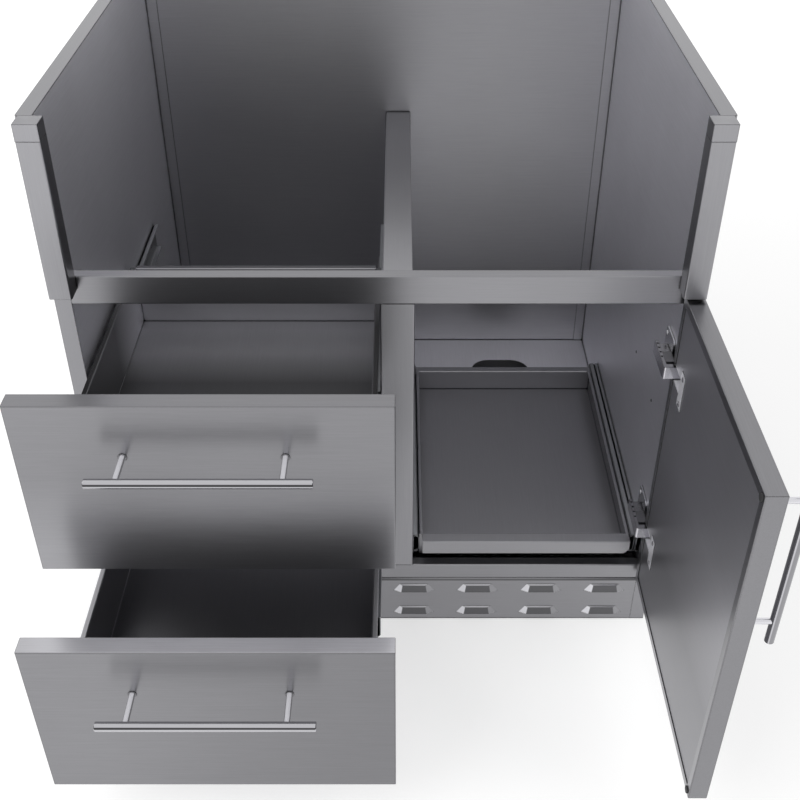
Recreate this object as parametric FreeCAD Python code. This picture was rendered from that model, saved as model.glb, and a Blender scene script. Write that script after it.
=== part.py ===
import FreeCAD, Part
import math
import os

# An outdoor kitchen base cabinet of folded stainless sheet: two drawers on the left, a hinged
# door with a pull-out tray on the right, a louvred kick plate below and a cut-out above for a
# built-in grill. Millimetres. X runs to the right seen from the front, Y into the cabinet and
# Z up. The origin is mid-width, on the floor, in the plane of the carcass face.
# The parts are placed as they rest: both drawers pulled out, the door open, the tray in.

# Carcass
cabinet_width = 863.6
cabinet_height = 870.0
carcass_depth = 690.2
sheet = 1.2
bend_radius = 1.0
wall_cavity = 20.8
stile_lip = 2.3
kick_height = 94.0
kick_flange = 22.0
bottom_rail_height = 29.0
rail_return = 16.0
floor_height = 100.0
floor_flange = 22.0
upper_rail_bottom = 607.0
upper_rail_height = 43.0
partition_centre = 25.15
partition_width = 42.7
partition_height = 500.0
stile_return = 3.4
corner_strip_width = 18.4
rear_rail_height = 36.0
rear_rail_depth = 26.0

# Gas line hole in the cabinet floor
gas_hole_length = 114.0
gas_hole_width = 69.5
gas_hole_x = 231.0
gas_hole_from_back = 110.5

# Louvres pressed out of the kick plate
louvre_tip_length = 65.0
louvre_top_length = 46.0
louvre_mouth_length = 41.0
louvre_height = 14.0
louvre_depth = 5.5
louvre_brow_depth = 2.6
louvre_brow_drop = 1.5
louvre_pitch = 102.6
louvre_columns = 8
louvre_mouth_heights = (15.5, 66.0)

# Filler strips beside the grill cut-out
filler_width = 30.5
filler_outer_inset = 3.8
filler_bottom_gap = 4.0
filler_cap_height = 22.0

# Levelling feet
foot_pad_across_flats = 34.0
foot_pad_height = 9.0
foot_stem_radius = 5.0
foot_thread_clearance = 0.05
foot_stem_top_gap = 3.0
foot_side_inset = 62.0
foot_end_inset = 58.0
bracket_plate_side = 56.0
bracket_plate_thickness = 3.0
bracket_nut_across_flats = 20.0
bracket_nut_height = 34.0

# Drawer and door fronts
front_thickness = 25.4
front_standoff = 2.0
front_side_inset = 4.4
front_split_gap = 3.65
front_bottom = 104.5
front_field_height = 522.2
front_drawer_gap = 4.7
front_sheet = 1.2
front_lip = 12.0
front_edge_radius = 1.6

# Drawer boxes
box_sheet = 1.0
box_lift = 23.5
box_height = 100.5
box_length = 530.0
box_rim = 7.8
box_back_rim = 9.0

# Telescopic slides
slide_space = 12.7
slide_length = 508.0
slide_height = 45.0
slide_rise = 46.5
slide_front_clearance = 0.6
slide_sheet = 1.2
slide_clearance = 0.3
slide_web_step = 3.0
slide_corner = 3.0
slide_slot_length = 9.0
slide_slot_width = 4.6
slide_slot_corner = 1.4
slide_slot_inset = 40.0

# Pull-out tray
tray_bottom = 126.0
tray_height = 41.5
tray_setback = 6.0
tray_lip_depth = 18.0
tray_lip_drop = 25.0
tray_lip_left_inset = 5.0
tray_lip_right_inset = 1.5
tray_lip_chamfer = 8.0
tray_body_length = 450.8
tray_side_rim = 6.0
tray_back_rim = 13.4
tray_slide_height = 36.0
tray_slide_length = 480.0
tray_slide_rise = 3.5
tray_door_clearance = 1.8

# Bar handles
bar_radius = 6.0
bar_length = 263.0
bar_edge_chamfer = 0.8
post_radius = 4.0
post_spacing = 192.0
handle_standoff = 48.0
drawer_handle_drop = 74.0
door_handle_inset = 55.0
door_handle_drop = 149.7

# Door hinges
hinge_axis_inset = 8.4
hinge_axis_depth = 15.2
hinge_lower_height = 107.5
hinge_upper_drop = 116.7
hinge_pin_radius = 2.5
hinge_pin_clearance = 0.05
hinge_eye_radius = 4.5
hinge_arm_half_height = 9.5
hinge_arm_thickness = 5.0
hinge_arm_reach = 30.0
hinge_arm_length = 68.0
hinge_arm_corner = 3.0
hinge_arm_relief = 0.3
hinge_plate_thickness = 3.0
hinge_plate_length = 46.0
hinge_plate_height = 50.0
hinge_plate_front = 18.0
hinge_plate_corner = 6.0
hinge_block_length = 28.0
hinge_block_half_height = 4.0
hinge_play = 1.5
hinge_ear = 2.0
hinge_cup_width = 44.0
hinge_cup_depth = 21.5
hinge_flange_width = 20.0
hinge_flange_height = 54.0
hinge_flange_thickness = 1.0
hinge_notch_depth = 6.4
hinge_notch_overcut = 1.0

# Rubber bumpers on the door
bumper_radius = 5.0
bumper_gap = 0.15
bumper_corner_inset = 8.0

# How far each moving part stands open at rest
upper_drawer_open = 227.6
lower_drawer_open = 361.6
door_open_angle = 90.0

# Places worked out from the sizes above
half_width = cabinet_width / 2
liner_face = half_width - wall_cavity
stile_edge = liner_face - stile_lip
partition_left_face = partition_centre - partition_width / 2
partition_right_face = partition_centre + partition_width / 2
back_face = carcass_depth - 2 * sheet
front_face = -front_standoff - front_thickness
box_front = -front_standoff - front_sheet
front_edge = half_width - front_side_inset
front_top = front_bottom + front_field_height
drawer_front_height = (front_field_height - front_drawer_gap) / 2
upper_front_bottom = front_top - drawer_front_height
drawer_front_right = partition_centre - front_split_gap / 2
door_left = partition_centre + front_split_gap / 2
hinge_x = front_edge - hinge_axis_inset
hinge_y = -front_standoff - hinge_axis_depth
hinge_heights = (front_bottom + hinge_lower_height, front_top - hinge_upper_drop)
open_door_face = hinge_x - hinge_axis_depth
tray_slide_wall = open_door_face + slide_web_step - tray_door_clearance
slide_setback = stile_return + slide_front_clearance
bend_clear_width = half_width - sheet - bend_radius


def box(x0, x1, y0, y1, z0, z1):
    """A block between two corners."""
    corner = FreeCAD.Vector(min(x0, x1), min(y0, y1), min(z0, z1))
    return Part.makeBox(abs(x1 - x0), abs(y1 - y0), abs(z1 - z0), corner)


def cylinder(x, y, z, radius, length, direction):
    """A cylinder from a point along a direction."""
    return Part.makeCylinder(radius, length, FreeCAD.Vector(x, y, z), FreeCAD.Vector(*direction))


def fused(shapes):
    """One clean solid made of several that touch or overlap."""
    whole = shapes[0].multiFuse(shapes[1:]) if len(shapes) > 1 else shapes[0]
    return whole.removeSplitter()


def moved(shape, x=0.0, y=0.0, z=0.0):
    """A copy of the shape, shifted."""
    copy = shape.copy()
    copy.translate(FreeCAD.Vector(x, y, z))
    return copy


def group(shapes):
    """Separate solids that share one node."""
    return Part.makeCompound([solid for shape in shapes for solid in shape.Solids])


def corner_arc(before, corner, after, radius):
    """Where a rounded corner starts, its middle and where it ends, in the profile's plane."""
    to_before = (before - corner).normalize()
    to_after = (after - corner).normalize()
    half_turn = to_before.getAngle(to_after) / 2
    reach = radius / math.tan(half_turn)
    bisector = (to_before + to_after).normalize()
    centre = corner + bisector * (radius / math.sin(half_turn))
    return corner + to_before * reach, centre - bisector * radius, corner + to_after * reach


def rounded_face(corners, radii):
    """A flat face whose outline has a rounding at each corner that asks for one."""
    starts, ends, arcs = [], [], []
    count = len(corners)
    for i in range(count):
        if radii[i] > 0:
            start, middle, end = corner_arc(corners[i - 1], corners[i], corners[(i + 1) % count], radii[i])
            arcs.append(Part.Arc(start, middle, end).toShape())
        else:
            start = end = corners[i]
            arcs.append(None)
        starts.append(start)
        ends.append(end)
    edges = []
    for i in range(count):
        if arcs[i] is not None:
            edges.append(arcs[i])
        edges.append(Part.makeLine(ends[i], starts[(i + 1) % count]))
    return Part.Face(Part.Wire(edges))


def folded(path, thickness, plane, low, high, side=1, radius=bend_radius):
    """A strip of sheet folded along a path of (u, v) points in a plane and extruded from low to
    high across it. The path is one face of the sheet, and the metal lies on its left, or on its
    right with side -1. In the plane XZ, YZ or XY, u and v are its two letters in that order. A
    radius of 0 gives sharp folds."""
    points = [FreeCAD.Vector(u, v, 0) for u, v in path]
    offset, near, far = [], [], []
    for i, point in enumerate(points):
        ahead = (points[i + 1] - point).normalize() if i + 1 < len(points) else None
        behind = (point - points[i - 1]).normalize() if i else None
        run = ahead or behind
        back = behind or ahead
        normal_run = FreeCAD.Vector(-run.y, run.x, 0) * side
        normal_back = FreeCAD.Vector(-back.y, back.x, 0) * side
        mitre = (normal_run + normal_back).normalize()
        offset.append(point + mitre * (thickness / mitre.dot(normal_run)))
        turn = (back.x * run.y - back.y * run.x) * side
        sharp = radius == 0 or i in (0, len(points) - 1)
        near.append(0.0 if sharp else radius + (thickness if turn > 0 else 0.0))
        far.append(0.0 if sharp else radius + (thickness if turn < 0 else 0.0))
    face = rounded_face(points + offset[::-1], near + far[::-1])
    return extruded(face, plane, low, high)


def extruded(face, plane, low, high):
    """A flat face in u and v, stood in its plane and extruded from low to high across it."""
    u_axis, v_axis, across = {
        "XY": ((1, 0, 0), (0, 1, 0), (0, 0, 1)),
        "XZ": ((1, 0, 0), (0, 0, 1), (0, 1, 0)),
        "YZ": ((0, 1, 0), (0, 0, 1), (1, 0, 0)),
    }[plane]
    u_axis, v_axis, across = FreeCAD.Vector(*u_axis), FreeCAD.Vector(*v_axis), FreeCAD.Vector(*across)
    normal = u_axis.cross(v_axis)
    stood = face.copy()
    stood.Placement = FreeCAD.Placement(across * low, FreeCAD.Rotation(u_axis, v_axis, normal, "XYZ"))
    return stood.extrude(across * (high - low))


def mirrored(shape):
    """The same piece on the other side of the cabinet's middle."""
    return shape.mirror(FreeCAD.Vector(0, 0, 0), FreeCAD.Vector(1, 0, 0))


def hexagon_prism(x, y, low, high, across_flats):
    """An upright prism with six equal sides."""
    reach = across_flats / math.sqrt(3)
    corners = [FreeCAD.Vector(x + reach * math.cos(turn), y + reach * math.sin(turn), low)
               for turn in (math.radians(60 * side) for side in range(6))]
    face = Part.Face(Part.makePolygon(corners + corners[:1]))
    return face.extrude(FreeCAD.Vector(0, 0, high - low))


def slide_slot(x, y, z):
    """A screw slot through a slide's web, long along the slide, with its corners cut off."""
    end, edge = slide_slot_length / 2, slide_slot_width / 2
    near_end, near_edge = end - slide_slot_corner, edge - slide_slot_corner
    outline = [(end, near_edge), (near_end, edge), (-near_end, edge), (-end, near_edge),
               (-end, -near_edge), (-near_end, -edge), (near_end, -edge), (end, -near_edge)]
    reach = 2 * slide_sheet
    corners = [FreeCAD.Vector(x - reach, y + u, z + v) for u, v in outline]
    return Part.Face(Part.makePolygon(corners + corners[:1])).extrude(FreeCAD.Vector(2 * reach, 0, 0))


def side_panel():
    """The right outer side: one sheet with a front stile, a rear return and a top seat."""
    path = [(stile_edge, 0), (half_width, 0), (half_width, carcass_depth),
            (liner_face, carcass_depth)]
    wall = folded(path, sheet, "XY", 0, cabinet_height)
    seat = box(liner_face, half_width - sheet, sheet, carcass_depth - sheet,
               cabinet_height - sheet, cabinet_height)
    return fused([wall, seat])


def liner():
    """The right inner wall, which the slides and hinges are fastened to."""
    return box(liner_face, liner_face + sheet, sheet, back_face, floor_height, cabinet_height - sheet)


def back_panel():
    """The back sheet, held between the side panels' rear returns and the liners' ends."""
    return box(-bend_clear_width, bend_clear_width, back_face, back_face + sheet, sheet,
               cabinet_height - sheet)


def corner_strips():
    """Upright strips that close the two rear corners inside."""
    right = box(liner_face - corner_strip_width, liner_face, back_face - sheet, back_face,
                floor_height, cabinet_height - sheet)
    return group([right, mirrored(right)])


def gas_hole():
    """What is cut out of the floor for the gas line: a round-ended slot along the width."""
    middle = back_face - gas_hole_from_back
    straight = (gas_hole_length - gas_hole_width) / 2
    low, high = floor_height - 2 * sheet, floor_height + sheet
    corners = [(gas_hole_x + side * straight, middle + end * gas_hole_width / 2)
               for side, end in ((-1, -1), (1, -1), (1, 1), (-1, 1))]
    ends = [(gas_hole_x + side * gas_hole_length / 2, middle) for side in (1, -1)]
    corners = [FreeCAD.Vector(x, y, low) for x, y in corners]
    ends = [FreeCAD.Vector(x, y, low) for x, y in ends]
    edges = [Part.makeLine(corners[0], corners[1]),
             Part.Arc(corners[1], ends[0], corners[2]).toShape(),
             Part.makeLine(corners[2], corners[3]),
             Part.Arc(corners[3], ends[1], corners[0]).toShape()]
    return Part.Face(Part.Wire(edges)).extrude(FreeCAD.Vector(0, 0, high - low))


def floor_pan():
    """The cabinet floor, a sheet with turned-down edges and the gas line hole."""
    low = floor_height - floor_flange
    path = [(sheet, low), (sheet, floor_height), (back_face, floor_height), (back_face, low)]
    pan = folded(path, sheet, "YZ", -bend_clear_width, bend_clear_width, side=-1)
    return pan.cut(gas_hole())


def partition_left():
    """The left sheet of the centre partition, with its top turned over to close the partition."""
    top = floor_height + partition_height
    path = [(partition_left_face, floor_height), (partition_left_face, top),
            (partition_right_face, top)]
    return folded(path, sheet, "XZ", sheet, back_face, side=-1)


def partition_right():
    """The right sheet of the centre partition, under the left sheet's turned-over top."""
    return box(partition_right_face - sheet, partition_right_face, sheet, back_face, floor_height,
               floor_height + partition_height - sheet)


def centre_stile():
    """The upright channel that covers the partition's front edge."""
    left = partition_left_face - stile_lip
    right = partition_right_face + stile_lip
    channel = folded([(left, stile_return), (left, 0), (right, 0), (right, stile_return)],
                     sheet, "XY", kick_height + bottom_rail_height, upper_rail_bottom)
    walls = box(partition_left_face, partition_right_face, sheet, carcass_depth, 0, cabinet_height)
    return channel.cut(walls)


def rail(low, high):
    """A cross rail with its face in the carcass plane and both edges turned back."""
    path = [(rail_return, low), (0, low), (0, high), (rail_return, high)]
    return folded(path, sheet, "YZ", -stile_edge, stile_edge, side=-1)


def bottom_rail():
    """The rail under the drawer and door openings, notched round the floor and the partition."""
    rail_body = rail(kick_height, kick_height + bottom_rail_height)
    floor_edge = box(-half_width, half_width, sheet, carcass_depth, floor_height - floor_flange,
                     floor_height)
    partition = box(partition_left_face, partition_right_face, sheet, carcass_depth, floor_height,
                    upper_rail_bottom)
    return rail_body.cut(Part.makeCompound([floor_edge, partition]))


def louvre_corners(x, mouth, inset):
    """The corners of a louvre's hood on the plate and those of its outer face, left to right.
    mouth is the height of the open lower edge, and an inset gives the room inside the sheet."""
    top = mouth + louvre_height - inset
    brow = top - louvre_brow_drop
    depth, brow_depth = louvre_depth - inset, louvre_brow_depth - inset
    tip = louvre_tip_length / 2 - 2 * inset
    shoulder = louvre_top_length / 2 - inset
    corner = louvre_mouth_length / 2 - inset
    out_share, up_share = brow_depth / depth, (brow - mouth) / (top - mouth)
    brow_end = tip - (tip - corner) * out_share - (tip - shoulder) * up_share
    plate_side = [(-tip, 0, mouth), (-shoulder, 0, top), (shoulder, 0, top), (tip, 0, mouth)]
    outer_side = [(-corner, -depth, mouth), (-brow_end, -brow_depth, brow),
                  (brow_end, -brow_depth, brow), (corner, -depth, mouth)]
    return [[FreeCAD.Vector(x + u, v, w) for u, v, w in side] for side in (plate_side, outer_side)]


def flat_sided(near, far):
    """A solid between two outlines of as many corners, with a flat face from edge to edge."""
    outlines = [near, far]
    for i in range(len(near)):
        outlines.append([near[i - 1], near[i], far[i], far[i - 1]])
    faces = [Part.Face(Part.makePolygon(outline + outline[:1])) for outline in outlines]
    return Part.makeSolid(Part.makeShell(faces))


def kick_plate():
    """The louvred plate below the openings, which lets leaked gas out of the cabinet. Its lower
    edge is folded sharp, so that the plate stands square on the floor."""
    path = [(kick_flange, 0), (0, 0), (0, kick_height)]
    plate = folded(path, sheet, "YZ", -stile_edge, stile_edge, side=-1, radius=0)
    through = FreeCAD.Vector(0, 2 * sheet, 0)
    hoods, rooms = [], []
    for mouth in louvre_mouth_heights:
        for column in range(louvre_columns):
            x = (column - (louvre_columns - 1) / 2) * louvre_pitch
            hoods.append(flat_sided(*louvre_corners(x, mouth, 0)))
            plate_side, outer_side = louvre_corners(x, mouth, sheet)
            rooms.append(flat_sided(plate_side, outer_side))
            rooms.append(flat_sided(plate_side, [corner + through for corner in plate_side]))
    return plate.multiFuse(hoods).cut(Part.makeCompound(rooms)).removeSplitter()


def filler():
    """The narrow proud strip beside the grill cut-out, on the right."""
    outer = half_width - filler_outer_inset
    inner = outer - filler_width
    path = [(inner, 0), (inner, front_face), (outer, front_face), (outer, 0)]
    return folded(path, sheet, "XY", front_top + filler_bottom_gap, cabinet_height - filler_cap_height)


def filler_cap():
    """The closed cap on top of the right filler strip."""
    outer = half_width - filler_outer_inset
    inner = outer - filler_width
    low = cabinet_height - filler_cap_height
    block = box(inner, outer, front_face, 0, low, cabinet_height)
    hollow = box(inner + sheet, outer - sheet, front_face + sheet, 0, low, cabinet_height - sheet)
    return block.cut(hollow)


def rear_top_rail():
    """The channel across the back that the worktop rests on."""
    high = cabinet_height - sheet
    front = back_face - sheet - rear_rail_depth
    path = [(front, high - rear_rail_height), (front, high), (back_face - sheet, high)]
    return folded(path, sheet, "YZ", -liner_face, liner_face, side=-1)


def foot_places():
    """The middles of the four levelling feet, with a name for each."""
    side = half_width - foot_side_inset
    ends = {"front": foot_end_inset, "rear": carcass_depth - foot_end_inset}
    return {f"{end}_{hand}": (sign * side, y) for end, y in ends.items()
            for hand, sign in (("left", -1), ("right", 1))}


def foot_brackets():
    """Plates with long welded nuts under the floor, one over each foot."""
    top = floor_height - sheet
    half = bracket_plate_side / 2
    brackets = []
    for x, y in foot_places().values():
        plate = box(x - half, x + half, y - half, y + half, top - bracket_plate_thickness, top)
        nut = hexagon_prism(x, y, top - bracket_nut_height, top, bracket_nut_across_flats)
        bore = cylinder(x, y, top - bracket_nut_height, foot_stem_radius + foot_thread_clearance,
                        bracket_nut_height, (0, 0, 1))
        brackets.append(fused([plate, nut]).cut(bore))
    return group(brackets)


def foot(x, y):
    """A levelling foot: a hexagonal pad with a threaded stem that screws up into its bracket."""
    stem_top = floor_height - sheet - foot_stem_top_gap
    pad = hexagon_prism(x, y, 0, foot_pad_height, foot_pad_across_flats)
    stem = cylinder(x, y, 0, foot_stem_radius, stem_top, (0, 0, 1))
    return fused([pad, stem])


def front_pan(x0, x1, z0, z1):
    """A drawer or door front: a shallow pan with welded corners and a lip turned in at the back."""
    y0, y1 = front_face, -front_standoff
    block = box(x0, x1, y0, y1, z0, z1)
    folds = [edge for edge in block.Edges if edge.BoundBox.YLength < front_thickness / 2]
    block = block.makeFillet(front_edge_radius, folds)
    hollow = box(x0 + front_sheet, x1 - front_sheet, y0 + front_sheet, y1 - front_sheet,
                 z0 + front_sheet, z1 - front_sheet)
    window = box(x0 + front_lip, x1 - front_lip, y0 + front_sheet, y1 + front_sheet,
                 z0 + front_lip, z1 - front_lip)
    return block.cut(hollow.fuse(window))


def front_liner(x0, x1, z0, z1):
    """The sheet that closes a front's back, behind the lip."""
    margin = front_lip / 2
    return box(x0 + margin, x1 - margin, box_front - front_sheet, box_front, z0 + margin, z1 - margin)


def handle_bar(x, z, upright):
    """A round bar in front of a panel, with its end edges broken."""
    y = front_face - handle_standoff
    if upright:
        bar = cylinder(x, y, z - bar_length / 2, bar_radius, bar_length, (0, 0, 1))
    else:
        bar = cylinder(x - bar_length / 2, y, z, bar_radius, bar_length, (1, 0, 0))
    ends = [edge for edge in bar.Edges if isinstance(edge.Curve, Part.Circle)]
    return bar.makeChamfer(bar_edge_chamfer, ends)


def handle_posts(x, z, upright):
    """The two posts that carry a bar, each shaped to the bar's round."""
    bar = handle_bar(x, z, upright)
    posts = []
    for side in (-0.5, 0.5):
        px = x if upright else x + side * post_spacing
        pz = z + side * post_spacing if upright else z
        post = cylinder(px, front_face - handle_standoff, pz, post_radius, handle_standoff, (0, 1, 0))
        posts.append(post.cut(bar))
    return group(posts)


def drawer_span():
    """Where a drawer box's outer walls stand, left and right."""
    return -liner_face + slide_space, partition_left_face - slide_space


def drawer_box(bottom):
    """The folded floor, side walls and rims of a drawer box, as it stands with the drawer shut."""
    left, right = drawer_span()
    low = bottom + box_lift
    high = low + box_height
    rim = box_rim - box_sheet
    path = [(left - rim, high), (left, high), (left, low), (right, low), (right, high),
            (right + rim, high)]
    return folded(path, box_sheet, "XZ", box_front, box_front + box_length)


def drawer_box_ends(bottom):
    """The box's back wall with its rim, and the front wall fastened to the drawer front."""
    left, right = drawer_span()
    low = bottom + box_lift
    high = low + box_height
    rear = box_front + box_length
    floor = low + box_sheet
    path = [(rear - box_sheet, floor), (rear - box_sheet, high), (rear + box_back_rim, high)]
    back = folded(path, box_sheet, "YZ", left + box_sheet, right - box_sheet, side=-1)
    front = box(left + box_sheet, right - box_sheet, box_front, box_front + box_sheet, floor, high)
    body = drawer_box(bottom)
    return group([back.cut(body), front.cut(body)])


def slide_member(kind, wall_x, toward, start, length, middle_z, height):
    """One of the three nested channels of a telescopic slide on the wall at wall_x. toward is 1
    where the drawer is on the wall's right. The members run in each other with one clearance."""
    step = slide_sheet + slide_clearance
    half = height / 2
    web, lip, reach = {
        "outer": (0.0, slide_space - slide_web_step, half),
        "middle": (slide_web_step, slide_space - step, half - step),
        "inner": (slide_space, slide_web_step + slide_corner + slide_sheet, half - 2 * step),
    }[kind]
    opens = 1 if lip > web else -1
    profile = [(lip, -reach), (web + opens * slide_corner, -reach), (web, slide_corner - reach),
               (web, reach - slide_corner), (web + opens * slide_corner, reach), (lip, reach)]
    path = [(wall_x + toward * u, middle_z + v) for u, v in profile]
    member = folded(path, slide_sheet, "XZ", start, start + length, side=-toward * opens, radius=0)
    slots = [slide_slot(wall_x + toward * web, y, middle_z)
             for y in (start + slide_slot_inset, start + length - slide_slot_inset)]
    return member.cut(Part.makeCompound(slots))


def slide_pair(kind, left_wall, right_wall, start, length, middle_z, height):
    """The same slide member on both sides of a drawer or tray."""
    return group([slide_member(kind, left_wall, 1, start, length, middle_z, height),
                  slide_member(kind, right_wall, -1, start, length, middle_z, height)])


def drawer_slides(kind, bottom):
    """A drawer's slide members, as they stand with the drawer shut."""
    middle_z = bottom + box_lift + slide_rise
    return slide_pair(kind, -liner_face, partition_left_face, slide_setback, slide_length, middle_z,
                      slide_height)


def drawer(name, bottom, opened):
    """Every piece of one drawer, pulled out as far as it stands at rest."""
    x = (drawer_front_right - front_edge) / 2
    z = bottom + drawer_front_height - drawer_handle_drop
    span = (-front_edge, drawer_front_right, bottom, bottom + drawer_front_height)
    pieces = {
        "front": front_pan(*span),
        "front_liner": front_liner(*span),
        "box": drawer_box(bottom),
        "box_ends": drawer_box_ends(bottom),
        "handle_bar": handle_bar(x, z, False),
        "handle_posts": handle_posts(x, z, False),
        "slide_inner": drawer_slides("inner", bottom),
    }
    placed = {f"{name}_{piece}": moved(shape, y=-opened) for piece, shape in pieces.items()}
    placed[f"{name}_slide_middle"] = moved(drawer_slides("middle", bottom), y=-opened / 2)
    placed[f"{name}_slide_outer"] = drawer_slides("outer", bottom)
    return placed


def tray_walls():
    """Where the tray's outer walls stand, left and right."""
    return partition_right_face + slide_space, tray_slide_wall - slide_space


def tray_pan():
    """The pull-out tray: a shallow pan with hemmed sides and a lip to pull it by."""
    left, right = tray_walls()
    low, high = tray_bottom, tray_bottom + tray_height
    front = tray_setback + tray_lip_depth
    rear = front + tray_body_length
    rim = tray_side_rim
    path = [(left + rim, high), (left, high), (left, low), (right, low), (right, high),
            (right - rim, high)]
    trough = folded(path, box_sheet, "XZ", front, rear)
    lip_x0, lip_x1 = left + tray_lip_left_inset, right - tray_lip_right_inset
    lip_path = [(tray_setback, high - tray_lip_drop), (tray_setback, high), (front + box_sheet, high)]
    lip = folded(lip_path, box_sheet, "YZ", lip_x0, lip_x1, side=-1)
    front_wall = box(left, right, front, front + box_sheet, low, high)
    back_path = [(rear - box_sheet, low), (rear - box_sheet, high), (rear + tray_back_rim, high)]
    back = folded(back_path, box_sheet, "YZ", left, right, side=-1)
    corner = high - tray_lip_drop
    nick = [FreeCAD.Vector(lip_x1, 0, corner), FreeCAD.Vector(lip_x1 - tray_lip_chamfer, 0, corner),
            FreeCAD.Vector(lip_x1, 0, corner + tray_lip_chamfer)]
    cutter = Part.Face(Part.makePolygon(nick + nick[:1])).extrude(FreeCAD.Vector(0, front - box_sheet, 0))
    return fused([trough, lip.cut(cutter), front_wall, back])


def tray_slides(kind):
    """The tray's slide members, as they stand with the tray in."""
    middle_z = tray_bottom + tray_slide_rise + tray_slide_height / 2
    return slide_pair(kind, partition_right_face, tray_slide_wall, tray_setback + tray_lip_depth,
                      tray_slide_length, middle_z, tray_slide_height)


def tray_spacer():
    """The channel that holds the tray's right slide off the liner, clear of the open door."""
    middle_z = tray_bottom + tray_slide_rise + tray_slide_height / 2
    low, high = middle_z - tray_slide_height / 2, middle_z + tray_slide_height / 2
    start = tray_setback + tray_lip_depth
    path = [(liner_face, low), (tray_slide_wall, low), (tray_slide_wall, high), (liner_face, high)]
    return folded(path, sheet, "XZ", start, start + tray_slide_length, side=-1, radius=0)


def hinge_arm(z):
    """The cranked arm that reaches into the door and ends in an eye round the hinge pin."""
    half = hinge_arm_half_height
    tip = hinge_x - hinge_arm_reach
    low_y = hinge_y - hinge_eye_radius
    high_y = hinge_y + hinge_eye_radius - hinge_arm_relief
    inner = tip + hinge_arm_thickness
    corners = [FreeCAD.Vector(x, y, 0) for x, y in (
        (tip, low_y), (hinge_x, low_y), (hinge_x, high_y), (inner, high_y),
        (inner, hinge_arm_length + low_y), (tip, hinge_arm_length + low_y))]
    radii = [hinge_arm_corner, 0, 0, 0, 0, 0]
    leg = extruded(rounded_face(corners, radii), "XY", z - half, z + half)
    eye = cylinder(hinge_x, hinge_y, z - half, hinge_eye_radius, 2 * half, (0, 0, 1))
    block = box(inner, liner_face - hinge_plate_thickness, hinge_plate_front,
                hinge_plate_front + hinge_block_length, z - hinge_block_half_height,
                z + hinge_block_half_height)
    bore = cylinder(hinge_x, hinge_y, z - half, hinge_pin_radius + hinge_pin_clearance, 2 * half,
                    (0, 0, 1))
    return fused([leg, eye, block]).cut(bore)


def hinge_plate(z):
    """The plate screwed to the liner that an arm is fastened to."""
    half = hinge_plate_height / 2
    plate = box(liner_face - hinge_plate_thickness, liner_face, hinge_plate_front,
                hinge_plate_front + hinge_plate_length, z - half, z + half)
    corners = [edge for edge in plate.Edges if edge.BoundBox.XLength > hinge_plate_thickness / 2]
    return plate.makeFillet(hinge_plate_corner, corners)


def hinge_notch(z):
    """The room that an arm needs in the back of the door, which runs out through its edge."""
    half = hinge_arm_half_height + hinge_play
    return box(hinge_x - hinge_arm_reach - hinge_play, front_edge + hinge_notch_overcut,
               -front_standoff - hinge_notch_depth, 0, z - half, z + half)


def hinge_cup_block(z):
    """The space that a hinge cup fills in the door."""
    half = hinge_arm_half_height + hinge_play + hinge_ear
    x1 = hinge_x + hinge_eye_radius
    return box(x1 - hinge_cup_width, x1, box_front - hinge_cup_depth, box_front, z - half, z + half)


def hinge_cup(z):
    """The pressed cup inside the door that holds the hinge pin between its two ears."""
    half = hinge_arm_half_height + hinge_play
    shell = hinge_cup_block(z)
    top = shell.BoundBox.YMax
    x0, x1 = shell.BoundBox.XMin, shell.BoundBox.XMax
    room = box(x0 + hinge_ear, x1, shell.BoundBox.YMin + hinge_ear, top, z - half, z + half)
    flange = box(x0 - hinge_flange_width + hinge_ear, x0 + hinge_ear, top, top + hinge_flange_thickness,
                 z - hinge_flange_height / 2, z + hinge_flange_height / 2)
    pin = hinge_pin(z)
    return fused([shell.cut(room), flange]).cut(pin)


def hinge_pin(z):
    """The pin that a door turns on, across the cup's ears."""
    half = hinge_arm_half_height + hinge_play + hinge_ear
    return cylinder(hinge_x, hinge_y, z - half, hinge_pin_radius, 2 * half, (0, 0, 1))


def door_bumpers():
    """Rubber bumpers on the door's lip, near the corners that swing."""
    x = door_left + bumper_corner_inset
    bumpers = [cylinder(x, -front_standoff, z, bumper_radius, front_standoff - bumper_gap, (0, 1, 0))
               for z in (front_bottom + bumper_corner_inset, front_top - bumper_corner_inset)]
    return group(bumpers)


def door():
    """Every piece of the door, swung open about its hinge pins."""
    span = (door_left, front_edge, front_bottom, front_top)
    notches = Part.makeCompound([hinge_notch(z) for z in hinge_heights])
    seats = Part.makeCompound([hinge_cup_block(z) for z in hinge_heights])
    hx = door_left + door_handle_inset
    hz = front_top - door_handle_drop
    pieces = {
        "door_front": front_pan(*span).cut(notches),
        "door_liner": front_liner(*span).cut(notches).cut(seats),
        "door_handle_bar": handle_bar(hx, hz, True),
        "door_handle_posts": handle_posts(hx, hz, True),
        "hinge_cups": group([hinge_cup(z) for z in hinge_heights]),
        "hinge_pins": group([hinge_pin(z) for z in hinge_heights]),
        "door_bumpers": door_bumpers(),
    }
    for shape in pieces.values():
        shape.rotate(FreeCAD.Vector(hinge_x, hinge_y, 0), FreeCAD.Vector(0, 0, 1), door_open_angle)
    return pieces


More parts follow.
